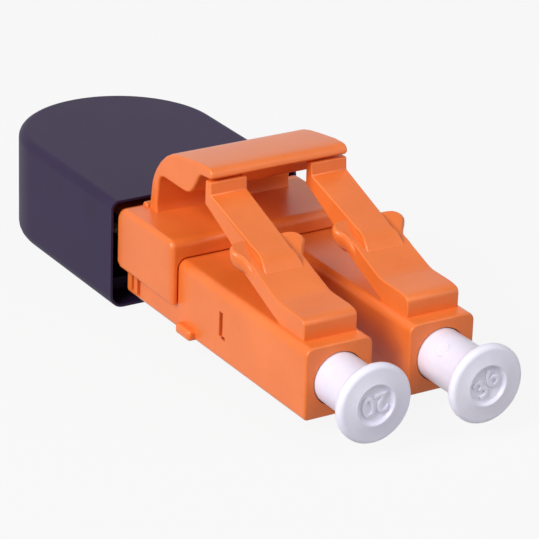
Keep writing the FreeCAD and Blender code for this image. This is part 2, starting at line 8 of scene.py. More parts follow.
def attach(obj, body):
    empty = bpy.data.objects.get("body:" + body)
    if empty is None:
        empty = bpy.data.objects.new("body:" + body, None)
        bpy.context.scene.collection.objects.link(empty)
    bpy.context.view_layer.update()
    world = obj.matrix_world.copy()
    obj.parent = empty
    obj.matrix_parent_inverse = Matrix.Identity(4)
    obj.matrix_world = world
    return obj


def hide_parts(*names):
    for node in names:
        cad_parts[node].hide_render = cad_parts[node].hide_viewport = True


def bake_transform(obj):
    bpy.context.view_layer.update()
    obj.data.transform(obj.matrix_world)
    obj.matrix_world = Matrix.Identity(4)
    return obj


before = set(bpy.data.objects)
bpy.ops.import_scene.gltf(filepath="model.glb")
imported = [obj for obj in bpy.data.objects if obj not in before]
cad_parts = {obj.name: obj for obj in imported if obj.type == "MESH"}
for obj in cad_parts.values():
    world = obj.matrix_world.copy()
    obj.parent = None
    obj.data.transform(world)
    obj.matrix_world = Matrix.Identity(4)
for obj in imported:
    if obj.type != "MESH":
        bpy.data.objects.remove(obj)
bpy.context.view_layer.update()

# Pieces are drawn in millimetres from the plugs' nose plane and underside, then put in the frame.
MM = 0.001
NOSE_Y = -28.4
LIFT = 1.1
HALF_PITCH = 3.125
AXIS_Z = 2.0
SIDES = {"left": -1, "right": 1}
FULL_TURN = 2 * math.pi
SHARP_ANGLE = 34
CORNER_ANGLE = 60
FLAT_WEIGHT = 90
NEAR = 1e-3
MERGE_DISTANCE = 1e-5
FACING = 0.99

scene = bpy.context.scene
scene.view_settings.view_transform = "Standard"


def at(x, y, z):
    """A drawn point in the frame, in metres."""
    return Vector((x * MM, (y + NOSE_Y) * MM, (z + LIFT) * MM))


class Shade:
    """One output of a node, with arithmetic that adds Math nodes."""

    def __init__(self, finish, socket):
        self.finish = finish
        self.socket = socket

    def maths(self, operation, first, second):
        return self.finish.node("ShaderNodeMath", {"operation": operation}, {0: first, 1: second})

    def __add__(self, other):
        return self.maths("ADD", self, other)

    def __radd__(self, other):
        return self.maths("ADD", other, self)

    def __mul__(self, other):
        return self.maths("MULTIPLY", self, other)

    def __rmul__(self, other):
        return self.maths("MULTIPLY", other, self)


class Nodes:
    """A node tree and the means to add nodes to it."""

    def __init__(self, tree):
        self.tree = tree

    def node(self, kind, settings=None, sockets=None, out=0):
        made = self.tree.nodes.new(kind)
        for key, value in (settings or {}).items():
            if key == "stops":
                while len(made.color_ramp.elements) < len(value):
                    made.color_ramp.elements.new(1)
                for element, (place, colour) in zip(made.color_ramp.elements, value):
                    element.position = place
                    element.color = (*colour, 1)
            else:
                setattr(made, key, value)
        for key, value in (sockets or {}).items():
            self.feed(made.inputs[key], value)
        return Shade(self, made.outputs[out])

    def feed(self, socket, value):
        if isinstance(value, Shade):
            self.tree.links.new(value.socket, socket)
        else:
            socket.default_value = value

    def seen(self):
        """1 for rays that show a surface to the camera, straight, mirrored or through glass; else 0."""
        straight, mirrored, through = [self.node("ShaderNodeLightPath", out="Is %s Ray" % way)
                                       for way in ("Camera", "Glossy", "Transmission")]
        return straight + mirrored + through


class Finish(Nodes):
    """A material, its shader and the textures that feed it."""

    def __init__(self, name):
        self.material = bpy.data.materials.new(name)
        self.material.use_nodes = True
        super().__init__(self.material.node_tree)
        self.shader = self.tree.nodes["Principled BSDF"]
        self.output = self.tree.nodes["Material Output"]

    def set(self, **sockets):
        for key, value in sockets.items():
            self.feed(self.shader.inputs[key.replace("_", " ")], value)

    def noise(self, scale, detail=2.0, stretch=(1, 1, 1)):
        """Noise on object coordinates; scale is in features per millimetre."""
        place = self.node("ShaderNodeTexCoord", out="Object")
        place = self.node("ShaderNodeMapping", {}, {"Vector": place, "Scale": stretch})
        return self.node("ShaderNodeTexNoise", {},
                         {"Vector": place, "Scale": scale / MM, "Detail": detail}, out="Fac")

    def mix(self, amount, first, second):
        return self.node("ShaderNodeMix", {"data_type": "RGBA"}, {0: amount, 6: first, 7: second}, out=2)

    def ramp(self, amount, stops):
        return self.node("ShaderNodeValToRGB", {"stops": stops}, {"Fac": amount})

    def bump(self, height, depth, strength):
        """Depth is in millimetres."""
        self.set(Normal=self.node("ShaderNodeBump", {}, {
            "Height": height, "Distance": depth * MM, "Strength": strength}))


def colour(red, green, blue):
    """A colour written in screen values, as shader values."""
    def straight(value):
        value /= 255
        return value / 12.92 if value <= 0.04045 else ((value + 0.055) / 1.055) ** 2.4
    return straight(red), straight(green), straight(blue)


def solid(red, green, blue):
    return (*colour(red, green, blue), 1)


# Features per millimetre in the moulded plastics
CLOUD_SCALE, FLECK_SCALE, SPARK_SCALE = 0.35, 9, 22


def moulded(name, dark, main, pale, roughness, texture_depth):
    """Satin moulded plastic: cloudy pigment, uneven gloss and a fine spark texture."""
    finish = Finish(name)
    cloud = finish.noise(CLOUD_SCALE, 3)
    fleck = finish.noise(FLECK_SCALE, 2)
    spark = finish.noise(SPARK_SCALE, 2)
    tone = 0.75 * cloud + 0.25 * fleck
    stops = [(0.3, colour(*dark)), (0.5, colour(*main)), (0.7, colour(*pale))]
    finish.set(Base_Color=finish.ramp(tone, stops))
    finish.set(Roughness=roughness - 0.08 + 0.1 * cloud + 0.06 * spark)
    finish.bump(spark, texture_depth, 0.5)
    return finish


def finishes():
    """One finish for each of the part's material slots."""
    made = {}
    made["orange_plastic"] = moulded("orange_moulding", (228, 112, 42), (233, 117, 48), (238, 123, 55),
                                     0.35, 0.006)
    shell = moulded("dark_shell", (36, 24, 53), (41, 28, 59), (46, 33, 64), 0.55, 0.010)
    shell.set(Specular_IOR_Level=0.2)
    made["black_shell"] = shell
    cap = moulded("cap_moulding", (230, 226, 245), (235, 232, 248), (240, 237, 250), 0.40, 0.004)
    cap.set(Subsurface_Weight=0.15, Subsurface_Radius=(1, 1, 1), Subsurface_Scale=0.3 * MM)
    made["cap_plastic"] = cap
    ceramic = Finish("ferrule_ceramic")
    grain = ceramic.noise(30, 2)
    ceramic.set(Base_Color=ceramic.mix(grain, solid(236, 234, 226), solid(246, 245, 240)))
    ceramic.set(Roughness=0.12 + 0.06 * grain)
    made["ceramic"] = ceramic
    flange = Finish("flange_turned_metal")
    rings = flange.noise(14, 2, (0.2, 3, 0.2))
    flange.set(Base_Color=flange.mix(rings, solid(176, 172, 164), solid(206, 203, 196)), Metallic=1.0)
    flange.set(Roughness=0.24 + 0.14 * rings)
    flange.bump(rings, 0.004, 0.4)
    made["flange_metal"] = flange
    steel = Finish("spring_wire")
    drawn = steel.noise(12, 3)
    steel.set(Base_Color=steel.mix(drawn, solid(150, 150, 152), solid(190, 190, 192)), Metallic=1.0)
    steel.set(Roughness=0.22 + 0.16 * drawn)
    made["spring_steel"] = steel
    tube = Finish("guide_tube_clear")
    haze = tube.noise(4, 2)
    tube.set(Base_Color=tube.mix(haze, solid(224, 228, 230), solid(240, 243, 244)))
    tube.set(Roughness=0.2 + 0.15 * haze)
    made["clear_tube"] = tube
    buffer = Finish("fibre_buffer")
    streak = buffer.noise(3, 3)
    buffer.set(Base_Color=buffer.mix(streak, solid(232, 226, 210), solid(244, 240, 228)))
    buffer.set(Roughness=0.38 + 0.12 * streak)
    made["fibre_buffer"] = buffer
    return {slot: finish.material for slot, finish in made.items()}


FINISH = finishes()


def add_piece(name, shape, slot_name, body, replaced=()):
    """Turns a drawn bmesh into a finished object of the part."""
    for edge in sharp_edges(shape, SHARP_ANGLE):
        edge.smooth = False
    bmesh.ops.scale(shape, vec=(MM, MM, MM), verts=shape.verts)
    bmesh.ops.translate(shape, vec=(0, NOSE_Y * MM, LIFT * MM), verts=shape.verts)
    mesh = bpy.data.meshes.new(name)
    shape.to_mesh(mesh)
    shape.free()
    mesh.polygons.foreach_set("use_smooth", [True] * len(mesh.polygons))
    piece = bpy.data.objects.new(name, mesh)
    scene.collection.objects.link(piece)
    mesh.materials.append(FINISH[slot_name])
    if body:
        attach(piece, body)
    if replaced:
        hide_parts(*replaced)
    flat_normals(piece)
    return piece


def flat_normals(piece):
    """Keeps flat faces flat beside their rounded edges."""
    weigh = piece.modifiers.new("flat faces", "WEIGHTED_NORMAL")
    weigh.keep_sharp = True
    weigh.weight = FLAT_WEIGHT


def sharp_edges(shape, least=45):
    return [edge for edge in shape.edges
            if len(edge.link_faces) == 2 and edge.calc_face_angle(0) > math.radians(least)]


def edges_along(shape, direction, test):
    """Edges along one axis (0, 1 or 2) whose middle passes a test on x, y and z."""
    found = []
    for edge in shape.edges:
        run = edge.verts[1].co - edge.verts[0].co
        if abs(run[direction]) > 0.98 * run.length and test(*((edge.verts[0].co + edge.verts[1].co) / 2)):
            found.append(edge)
    return found


def edges_in(shape, axis, level):
    """Edges that lie wholly in a plane across one axis (0, 1 or 2)."""
    return [edge for edge in shape.edges if all(abs(vertex.co[axis] - level) < NEAR for vertex in edge.verts)]


def end_edges(shape):
    """Edges of the two flat ends of a shape drawn out across the part."""
    return [edge for edge in shape.edges if abs(edge.verts[0].co.x - edge.verts[1].co.x) < MERGE_DISTANCE]


def round_edges(shape, edges, radius, segments):
    bmesh.ops.bevel(shape, geom=edges, offset=radius, offset_type="OFFSET", segments=segments,
                    profile=0.5, affect="EDGES", clamp_overlap=True, material=-1)


def prism(points, along):
    """A flat outline drawn out along a straight run."""
    shape = bmesh.new()
    face = shape.faces.new([shape.verts.new(point) for point in points])
    drawn = bmesh.ops.extrude_face_region(shape, geom=[face], use_keep_orig=True)
    moved = [item for item in drawn["geom"] if isinstance(item, bmesh.types.BMVert)]
    bmesh.ops.translate(shape, vec=along, verts=moved)
    bmesh.ops.recalc_face_normals(shape, faces=shape.faces)
    return shape


def across(corners, low, high):
    """A side outline (y, z) drawn out across the part."""
    return prism([(low, y, z) for y, z in corners], (high - low, 0, 0))


def lengthways(corners, front, back):
    """A front outline (x, z) drawn out along the part."""
    return prism([(x, front, z) for x, z in corners], (0, back - front, 0))


def upwards(corners, low, high):
    """A plan outline (x, y) drawn out upwards."""
    return prism([(x, y, low) for x, y in corners], (0, 0, high - low))


def block(low, high):
    """A block between two corners."""
    corners = [(low[0], low[2]), (high[0], low[2]), (high[0], high[2]), (low[0], high[2])]
    return lengthways(corners, low[1], high[1])


def joined(shapes):
    whole = bmesh.new()
    for shape in shapes:
        mesh = bpy.data.meshes.new("joined")
        shape.to_mesh(mesh)
        shape.free()
        whole.from_mesh(mesh)
        bpy.data.meshes.remove(mesh)
    return whole


def as_object(shape):
    mesh = bpy.data.meshes.new("working")
    shape.to_mesh(mesh)
    shape.free()
    made = bpy.data.objects.new("working", mesh)
    scene.collection.objects.link(made)
    return made


def carved(shape, cutters):
    """Cuts closed shapes out of another one."""
    whole = as_object(shape)
    tools = [as_object(cutter) for cutter in cutters]
    for tool in tools:
        cut = whole.modifiers.new("cut", "BOOLEAN")
        cut.operation = "DIFFERENCE"
        cut.solver = "EXACT"
        cut.object = tool
    bpy.context.view_layer.update()
    mesh = bpy.data.meshes.new_from_object(whole.evaluated_get(bpy.context.evaluated_depsgraph_get()))
    result = bmesh.new()
    result.from_mesh(mesh)
    for item in [whole, *tools]:
        bpy.data.meshes.remove(item.data)
    bpy.data.meshes.remove(mesh)
    bmesh.ops.remove_doubles(result, verts=result.verts, dist=MERGE_DISTANCE)
    return result


def arc(centre, radius, start, end, steps):
    """Points of an outline along part of a circle; angles in degrees."""
    turns = [math.radians(start + (end - start) * step / steps) for step in range(steps + 1)]
    return [(centre[0] + radius * math.cos(turn), centre[1] + radius * math.sin(turn)) for turn in turns]


def circle(centre, radius, steps):
    """Points of a round outline."""
    turns = [step * FULL_TURN / steps for step in range(steps)]
    return [(centre[0] + radius * math.cos(turn), centre[1] + radius * math.sin(turn)) for turn in turns]


def shifted(shape, vector):
    bmesh.ops.translate(shape, vec=vector, verts=shape.verts)
    return shape


def turned(profile, steps=64):
    """A profile (distance along the plug, radius) turned about the plug's axis."""
    shape = bmesh.new()
    points = [shape.verts.new((0, y, AXIS_Z + radius)) for y, radius in profile]
    edges = [shape.edges.new(pair) for pair in zip(points, points[1:])]
    bmesh.ops.spin(shape, geom=points + edges, cent=(0, 0, AXIS_Z), axis=(0, 1, 0), angle=FULL_TURN,
                   steps=steps, use_merge=True)
    bmesh.ops.remove_doubles(shape, verts=shape.verts, dist=MERGE_DISTANCE)
    bmesh.ops.recalc_face_normals(shape, faces=shape.faces)
    return shape


def tube_through(rows, closed):
    """A tube through rings of points; closed joins its ends, or else both are capped."""
    shape = bmesh.new()
    rings = [[shape.verts.new(point) for point in row] for row in rows]
    for ring, following in zip(rings, rings[1:] + (rings[:1] if closed else [])):
        for place, vertex in enumerate(ring):
            after = (place + 1) % len(ring)
            shape.faces.new((vertex, ring[after], following[after], following[place]))
    if not closed:
        shape.faces.new(rings[0])
        shape.faces.new(rings[-1])
    bmesh.ops.recalc_face_normals(shape, faces=shape.faces)
    return shape


def pushed(shape, faces, vector):
    """Draws faces of a closed shape in or out, with walls round them."""
    drawn = bmesh.ops.extrude_face_region(shape, geom=faces)
    moved = [item for item in drawn["geom"] if isinstance(item, bmesh.types.BMVert)]
    bmesh.ops.translate(shape, vec=vector, verts=moved)
    bmesh.ops.delete(shape, geom=[face for face in faces if face.is_valid], context="FACES_ONLY")
    bmesh.ops.delete(shape, geom=[edge for edge in shape.edges if edge.is_wire], context="EDGES")
    shape.normal_update()


def sink(shape, side, front, back, low, high, depth):
    """Pushes a rectangle of a flank inwards; side is -1 or 1."""
    def flank():
        faces = [face for face in shape.faces if face.normal.x * side > FACING]
        edges = list({edge for face in faces for edge in face.edges})
        return faces + edges + list({vertex for edge in edges for vertex in edge.verts})
    for place, normal in (((0, front, 0), (0, 1, 0)), ((0, back, 0), (0, 1, 0)),
                          ((0, 0, low), (0, 0, 1)), ((0, 0, high), (0, 0, 1))):
        bmesh.ops.bisect_plane(shape, geom=flank(), plane_co=place, plane_no=normal, dist=MERGE_DISTANCE)
        shape.normal_update()
    inside = [face for face in shape.faces if face.normal.x * side > FACING
              and front < face.calc_center_median().y < back and low < face.calc_center_median().z < high]
    pushed(shape, inside, (-side * depth, 0, 0))


# Loop housing: a hollow moulding with a round end, and a thin lip round its mouth
HOUSING_HALF = 5.94
HOUSING_MOUTH = 18.8
HOUSING_END = 28.4
HOUSING_LOW, HOUSING_TOP = -1.1, 5.3
HOUSING_WALL = 0.85
TOP_RADIUS, BASE_RADIUS = 0.5, 0.8
LIP_WALL, LIP_DEPTH = 0.14, 2.0
ROUND_STEPS, HOUSING_SEGMENTS = 48, 6


def round_ended(half, front, low, high):
    """A slab with a half-round back end."""
    plan = [(-half, front), (half, front)] + arc((0, HOUSING_END), half, 0, 180, ROUND_STEPS)
    return upwards(plan, low, high)


def add_housing():
    shape = round_ended(HOUSING_HALF, HOUSING_MOUTH, HOUSING_LOW, HOUSING_TOP)

    def rim(level):
        mouth = edges_in(shape, 1, HOUSING_MOUTH)
        return [edge for edge in edges_in(shape, 2, level) if edge not in mouth]

    round_edges(shape, rim(HOUSING_TOP), TOP_RADIUS, HOUSING_SEGMENTS)
    round_edges(shape, rim(HOUSING_LOW), BASE_RADIUS, HOUSING_SEGMENTS)
    cavity = round_ended(HOUSING_HALF - HOUSING_WALL, HOUSING_MOUTH - 1, HOUSING_LOW + HOUSING_WALL,
                         HOUSING_TOP - HOUSING_WALL)
    recess = block((LIP_WALL - HOUSING_HALF, HOUSING_MOUTH - 1, HOUSING_LOW + LIP_WALL),
                   (HOUSING_HALF - LIP_WALL, HOUSING_MOUTH + LIP_DEPTH, HOUSING_TOP - LIP_WALL))
    for radius, test in ((TOP_RADIUS, lambda x, y, z: z > 0), (BASE_RADIUS, lambda x, y, z: z < 0)):
        round_edges(recess, edges_along(recess, 1, test), radius - LIP_WALL, HOUSING_SEGMENTS)
    add_piece("housing_moulding", carved(shape, [cavity, recess]), "black_shell", "shell", ["loop_housing"])


add_housing()

# Plugs: square bodies with a stepped bore, a slit on each flank, a low lug and two rib slots
PLUG_LENGTH = 18.3
PLUG_HALF = 2.0
PLUG_TOP_RADIUS, PLUG_BASE_RADIUS, NOSE_RADIUS = 0.5, 0.25, 0.12
# Each cut's front, back, low and high edges and its depth: the slit and its foot, then the rib slots
FLANK_CUTS = [(8.14, 8.5, 1.36, 2.76, 0.45), (7.88, 8.22, 1.25, 1.44, 0.22),
              (17.62, 17.86, 0.3, 1.4, 0.2), (16.88, 17.24, 0.26, 1.4, 0.3)]
BORE_STEPS = [(0, 1.5), (3.0, 1.5), (3.0, 0.85), (3.6, 0.85), (3.6, 1.5), (PLUG_LENGTH, 1.5)]
BORE_SEGMENTS = 48
LUG_CORNERS = [(-2.42, 10.9, 0.03), (2.42, 12.4, 0.65)]
LUG_RADIUS = 0.2


def bored(shape):
    """Opens both ends of a plug and lines it with its stepped bore."""
    caps = [face for face in shape.faces if abs(face.normal.y) > FACING and len(face.verts) > 8]
    rims = {}
    for face in caps:
        rims[face.calc_center_median().y > 1] = list(face.edges)
    bmesh.ops.delete(shape, geom=caps, context="FACES_ONLY")
    place = Matrix.Translation((0, BORE_STEPS[0][0], AXIS_Z)) @ Matrix.Rotation(math.radians(90), 4, "X")
    ring = bmesh.ops.create_circle(shape, segments=BORE_SEGMENTS, radius=BORE_STEPS[0][1],
                                   matrix=place)["verts"]
    loop = list({edge for vertex in ring for edge in vertex.link_edges})
    bmesh.ops.triangle_fill(shape, use_beauty=True, edges=rims[False] + loop)
    for (y, radius), (next_y, next_radius) in zip(BORE_STEPS, BORE_STEPS[1:]):
        drawn = bmesh.ops.extrude_edge_only(shape, edges=loop)["geom"]
        moved = [item for item in drawn if isinstance(item, bmesh.types.BMVert)]
        loop = [item for item in drawn if isinstance(item, bmesh.types.BMEdge)]
        scale = next_radius / radius
        bmesh.ops.translate(shape, vec=(0, next_y - y, 0), verts=moved)
        bmesh.ops.scale(shape, vec=(scale, 1, scale), verts=moved, space=Matrix.Translation((0, 0, -AXIS_Z)))
    back = edges_in(shape, 1, PLUG_LENGTH)
    loop = [edge for edge in loop if edge.is_valid and edge in back]
    bmesh.ops.triangle_fill(shape, use_beauty=True, edges=rims[True] + loop)
    bmesh.ops.recalc_face_normals(shape, faces=shape.faces)
    return shape


def plug_shape():
    shape = block((-PLUG_HALF, 0, 0), (PLUG_HALF, PLUG_LENGTH, 2 * PLUG_HALF))
    round_edges(shape, edges_along(shape, 1, lambda x, y, z: z > PLUG_HALF), PLUG_TOP_RADIUS, 5)
    base = edges_along(shape, 1, lambda x, y, z: z < NEAR and abs(x) > PLUG_HALF - NEAR)
    round_edges(shape, base, PLUG_BASE_RADIUS, 4)
    round_edges(shape, edges_in(shape, 1, 0), NOSE_RADIUS, 3)
    for side in (-1, 1):
        for cut in FLANK_CUTS:
            sink(shape, side, *cut)
    lug = block(*LUG_CORNERS)
    round_edges(lug, sharp_edges(lug), LUG_RADIUS, 4)
    return joined([bored(shape), lug])


for side, sign in SIDES.items():
    add_piece("plug_moulding_" + side, shifted(plug_shape(), (sign * HALF_PITCH, 0, 0)), "orange_plastic",
              "shell", ["plug_housing_" + side])

# Clip: holds both plugs side by side and closes the housing's mouth
CLIP_FRONT, CLIP_BACK = 12.75, 18.8
CLIP_HALF = 5.62
CLIP_LOW, CLIP_TOP = 1.45, 5.1
CHANNEL_GAP = 0.05
CHANNEL_RADIUS = 0.54
BACK_WALL = 18.33
BROW_RADIUS, HEEL_RADIUS = 0.45, 0.9
CLIP_EDGE_RADIUS, ARCH_RADIUS = 0.3, 0.1
HEEL_CUT = (0.35, 0.3)
COLLAR_HOLE, HOLE_STEPS, HOLE_SPARE = 1.82, 32, 0.4
BEAD_CENTRE, BEAD_RADIUS, BEAD_SIDES, BEAD_HALF = (17.95, 5.05), 0.28, 12, 4.33
TONGUE_HALF, TONGUE_LOW, TONGUE_TOP = 4.9, 3.9, 4.38
POST_HALF, POST_LOW = 1.1, -0.18
TONGUE_START, TONGUE_END = CLIP_BACK - 0.2, 20.75
TONGUE_OUTLINE = [
    (-TONGUE_HALF, TONGUE_TOP), (-TONGUE_HALF, TONGUE_LOW), (-POST_HALF, TONGUE_LOW), (-POST_HALF, POST_LOW),
    (POST_HALF, POST_LOW), (POST_HALF, TONGUE_LOW), (TONGUE_HALF, TONGUE_LOW), (TONGUE_HALF, TONGUE_TOP),
]


def add_clip():
    inner, outer = HALF_PITCH - PLUG_HALF - CHANNEL_GAP, HALF_PITCH + PLUG_HALF + CHANNEL_GAP
    roof = 2 * PLUG_HALF + CHANNEL_GAP
    profile = [(CLIP_FRONT, CLIP_LOW)]
    profile += arc((CLIP_FRONT + BROW_RADIUS, CLIP_TOP - BROW_RADIUS), BROW_RADIUS, 180, 90, 6)
    profile += arc((CLIP_BACK - HEEL_RADIUS, CLIP_TOP - HEEL_RADIUS), HEEL_RADIUS, 90, 0, 10)
    profile += [(CLIP_BACK, CLIP_LOW + HEEL_CUT[1]), (CLIP_BACK - HEEL_CUT[0], CLIP_LOW)]
    body = across(profile, -CLIP_HALF, CLIP_HALF)
    round_edges(body, end_edges(body), CLIP_EDGE_RADIUS, 5)
    channels = [block((min(sign * inner, sign * outer), CLIP_FRONT - 1, CLIP_LOW - 1),
                      (max(sign * inner, sign * outer), BACK_WALL, roof)) for sign in (-1, 1)]
    for channel in channels:
        round_edges(channel, edges_along(channel, 1, lambda x, y, z: z > PLUG_HALF), CHANNEL_RADIUS, 4)
    holes = [lengthways(circle((sign * HALF_PITCH, AXIS_Z), COLLAR_HOLE, HOLE_STEPS),
                        BACK_WALL - HOLE_SPARE, CLIP_BACK + HOLE_SPARE) for sign in (-1, 1)]
    body = carved(carved(body, channels), holes)
    front = edges_in(body, 1, CLIP_FRONT)
    arches = [edge for edge in sharp_edges(body, CORNER_ANGLE) if edge in front]
    round_edges(body, arches, ARCH_RADIUS, 3)
    bead = across(circle(BEAD_CENTRE, BEAD_RADIUS, BEAD_SIDES), -BEAD_HALF, BEAD_HALF)
    round_edges(bead, sharp_edges(bead, CORNER_ANGLE), ARCH_RADIUS, 3)
    tongue = lengthways(TONGUE_OUTLINE, TONGUE_START, TONGUE_END)
    add_piece("clip_moulding", joined([body, bead, tongue]), "orange_plastic", "shell", ["duplex_clip"])


add_clip()

# Latch levers: each is one moulding with the foot on its plug
LOWER_BLADE = [
    (0.93, 3.92), (0.93, 4.76), (0.97, 4.92), (1.06, 5.03), (1.2, 5.1), (1.42, 5.14), (1.7, 5.17),
    (3.25, 5.18), (3.6, 5.23), (4.0, 5.36), (5.3, 5.83), (5.65, 5.98), (7.0, 6.42),
    (7.0, 5.44), (5.57, 4.89), (4.1, 4.32), (3.6, 4.12), (3.2, 3.92),
]
UPPER_BLADE = [
    (5.26, 5.7), (5.42, 5.9), (5.72, 6.18), (5.98, 6.42), (6.3, 6.55), (6.6, 6.647), (6.95, 6.761),
    (11.14, 8.12), (11.2, 8.82), (11.74, 8.82),
    (11.74, 7.47), (9.1, 6.3), (8.72, 6.06), (8.6, 5.82), (8.55, 5.36), (8.42, 5.25), (6.95, 5.16),
    (6.2, 5.14), (5.4, 4.95),
]
# Half widths along each blade
LEVER_WIDTHS = [(0, 1.6), (4.0, 1.6), (7.0, 1.55)]
BLADE_WIDTHS = [(4.3, 1.2), (5.2, 1.2), (5.7, 1.14), (6.1, 1.03), (6.5, 0.97), (6.9, 1.0), (7.4, 1.1),
                (8.4, 1.16), (11.8, 1.12)]
BLADE_EDGE_RADIUS = 0.09
# An ear's plan, and its layers: each one's height and its share of the plan about the ear's root
EAR_PLAN = [
    (0.8, 7.72), (1.5, 7.72), (1.86, 7.66), (2.09, 7.5), (2.2, 7.26), (2.18, 7.02), (2.05, 6.82),
    (1.87, 6.64), (1.72, 6.42), (1.62, 6.16), (1.56, 5.86), (0.8, 5.86),
]
EAR_ROOT = (0.8, 7.1)
EAR_LAYERS = [(0.28, 0.86), (0.265, 0.91), (0.22, 0.958), (0.157, 0.989), (0.08, 1.0), (-0.1, 1.0),
              (-0.3, 0.97), (-0.5, 0.9), (-0.7, 0.79), (-0.9, 0.64), (-1.05, 0.5)]
EAR_Y, EAR_Z = 6.7, 6.3
EAR_DIP_START, EAR_DIP = 6.9, 0.5
LEVER_SLOPE = 0.327


def tapered(shape, widths):
    """Scales each point sideways so that the shape follows half widths given along it."""
    for vertex in shape.verts:
        for (y, half), (next_y, next_half) in zip(widths, widths[1:]):
            if y <= vertex.co.y <= next_y:
                part = (vertex.co.y - y) / (next_y - y)
                vertex.co.x *= half + part * (next_half - half)
                break
    return shape


def ear_shape(sign):
    """One ear: a rounded knob that narrows downwards into the lever's flank and dips towards its front."""
    root_x, root_y = EAR_ROOT
    rows = [[(sign * (root_x + (x - root_x) * share), root_y + (y - root_y) * share, height)
             for x, y in EAR_PLAN] for height, share in EAR_LAYERS]
    shape = tube_through(rows, False)
    for vertex in shape.verts:
        ahead = min(max(EAR_DIP_START - vertex.co.y, 0), 1)
        vertex.co.z += EAR_Z + LEVER_SLOPE * (vertex.co.y - EAR_Y) - EAR_DIP * ahead * ahead * (3 - 2 * ahead)
    return shape


def add_lever(side):
    lower = tapered(across(LOWER_BLADE, -1, 1), LEVER_WIDTHS)
    upper = tapered(across(UPPER_BLADE, -1, 1), BLADE_WIDTHS)
    for blade in (lower, upper):
        round_edges(blade, sharp_edges(blade, CORNER_ANGLE), BLADE_EDGE_RADIUS, 3)
    shape = joined([lower, upper, ear_shape(-1), ear_shape(1)])
    shifted(shape, (SIDES[side] * HALF_PITCH, 0, 0))
    piece = add_piece("lever_moulding_" + side, shape, "orange_plastic", None, ["latch_lever_" + side])
    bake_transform(piece)


for side in SIDES:
    add_lever(side)

# Trigger: a cross-bar on one thin leg that stands on the clip
TRIGGER_OUTLINE = [
    (17.66, 5.02), (17.6, 5.25), (17.56, 5.6), (17.38, 6.75), (17.2, 7.2), (16.95, 7.65), (16.5, 8.2),
    (15.98, 8.65), (15.4, 8.98), (14.8, 9.14), (13.87, 9.3), (12.3, 9.52), (11.62, 9.545), (11.4, 9.52),
    (11.22, 9.43), (11.12, 9.28), (11.1, 9.12), (11.2, 9.0), (11.4, 8.95), (12.2, 8.88), (12.45, 8.72),
    (12.75, 8.25), (13.02, 7.84), (13.32, 7.54), (13.68, 7.4), (14.2, 7.37), (16.1, 7.38), (16.45, 7.28),
    (16.66, 7.0), (16.86, 5.6), (16.84, 5.25), (16.78, 5.02),
]
TRIGGER_HALF_WIDTH = 4.25
TRIGGER_EDGE_RADIUS = 0.15


def add_trigger():
    shape = across(TRIGGER_OUTLINE, -TRIGGER_HALF_WIDTH, TRIGGER_HALF_WIDTH)
    round_edges(shape, end_edges(shape), TRIGGER_EDGE_RADIUS, 4)
    piece = add_piece("trigger_moulding", shape, "orange_plastic", None, ["trigger"])
    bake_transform(piece)


add_trigger()

# Dust caps: flanged plugs with a sunk, numbered middle
CAP_PROFILE = [
    (-3.28, 0), (-3.28, 0.92), (-3.32, 1.0), (-3.44, 1.06), (-3.49, 1.1), (-3.5, 1.15), (-3.49, 1.2),
    (-3.46, 1.26), (-3.46, 1.9), (-3.43, 2.02), (-3.36, 2.11), (-3.27, 2.16), (-3.17, 2.17), (-3.05, 2.16),
    (-2.94, 2.1), (-2.87, 2.0), (-2.85, 1.88), (-2.85, 1.62), (-2.8, 1.5), (-2.7, 1.44),
    (-0.5, 1.44), (2.1, 1.44), (2.18, 1.4), (2.2, 1.34), (2.2, 0.7), (2.17, 0.66), (-1.6, 0.66), (-1.6, 0),
]
CAP_DRAWS = {"left": 0, "right": 0.75}
# Each cap's number and how far it is turned, in degrees
CAP_NUMBERS = {"left": ("20", 172), "right": ("36", -38)}
DIGIT_SIZE, DIGIT_DEPTH, DIGIT_EDGE, DIGIT_Y = 1.55, 0.06, 0.025, -3.3


def digits_shape(number, lean):
    """Raised digits that face forwards, turned about the cap's axis by an angle in degrees."""
    words = bpy.data.curves.new("cap_number", "FONT")
    words.body = number
    words.size = DIGIT_SIZE
    words.align_x = "CENTER"
    words.align_y = "CENTER"
    words.extrude = DIGIT_DEPTH
    words.bevel_depth = DIGIT_EDGE
    words.bevel_resolution = 1
    words.resolution_u = 4
    text = bpy.data.objects.new("cap_number", words)
    shape = bmesh.new()
    shape.from_mesh(bpy.data.meshes.new_from_object(text))
    bpy.data.objects.remove(text)
    bpy.data.curves.remove(words)
    bmesh.ops.remove_doubles(shape, verts=shape.verts, dist=1e-4)
    upright = Matrix.Rotation(math.radians(90), 4, "X")
    leaning = Matrix.Rotation(math.radians(lean), 4, "Y")
    bmesh.ops.transform(shape, matrix=leaning @ upright, verts=shape.verts)
    return shape


def add_cap(side):
    middle, drawn = SIDES[side] * HALF_PITCH, CAP_DRAWS[side]
    shape = shifted(turned(CAP_PROFILE), (middle, -drawn, 0))
    add_piece("cap_moulding_" + side, shape, "cap_plastic", "cap_" + side, ["dust_cap_" + side])
    shape = shifted(digits_shape(*CAP_NUMBERS[side]), (middle, DIGIT_Y - drawn, AXIS_Z))
    add_piece("cap_digits_" + side, shape, "cap_plastic", "cap_" + side)


for side in SIDES:
    add_cap(side)

# A small raised ring, left by the mould, on the right cap's stem
RING_RADIUS, RING_BEAD = 0.38, 0.04
RING_Y, RING_TURN = -1.44, math.radians(132)
STEM_RADIUS = 1.44
RING_STEPS, BEAD_STEPS = 32, 8


